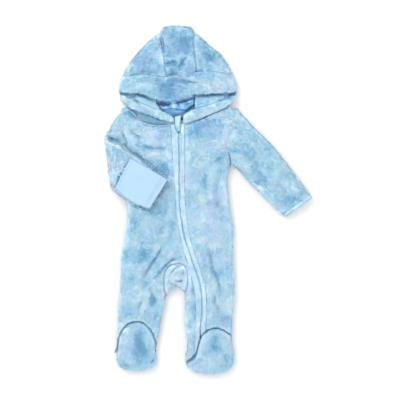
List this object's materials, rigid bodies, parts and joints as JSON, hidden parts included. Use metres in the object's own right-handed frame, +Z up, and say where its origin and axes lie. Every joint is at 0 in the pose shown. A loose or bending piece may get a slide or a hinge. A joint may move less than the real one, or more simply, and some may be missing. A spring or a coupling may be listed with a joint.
{
  "type": "hooded plush baby pramsuit with feet",
  "caption": "Hooded plush baby pramsuit with feet, lying flat on its back, one sleeve folded over the chest.",
  "frame": {"origin": "on the surface that the suit lies on, at the middle of the body, below the waist", "axes": "+Y to the hood, +X to the wearer's left sleeve, +Z up from the surface"},
  "size_m": [0.4483, 0.753, 0.0349],
  "materials": {
    "plush": "light blue plush, brushed both ways",
    "pale_plush": "light blue plush, pile combed flat",
    "jersey": "smooth light blue jersey",
    "lining": "smooth lining with a satin shine",
    "zip_tape": "woven tape",
    "zip_coil": "matt nylon",
    "zip_slider": "satin paint"
  },
  "bodies": {
    "root": {"front_right": "plush", "front_left": "plush", "back": "plush", "gusset": "plush", "placket_right": "pale_plush", "placket_left": "pale_plush", "zip_tape": "zip_tape", "zip_coil": "zip_coil", "zip_slider": "zip_slider", "zip_guard": "pale_plush", "sleeve_right": "plush", "sleeve_left": "plush", "cuff_right": "pale_plush", "cuff_left": "pale_plush", "mitten_right": "jersey", "mitten_left": "jersey", "hood_centre": "plush", "hood_side_right": "plush", "hood_side_left": "plush", "hood_brim": "plush", "hood_edge_right": "plush", "hood_edge_left": "plush", "hood_facing_right": "plush", "hood_facing_left": "plush", "hood_neck_right": "plush", "hood_lining": "lining", "foot_upper_right": "plush", "foot_upper_left": "plush", "foot_sole_right": "plush", "foot_sole_left": "plush"}
  },
  "joints": []
}
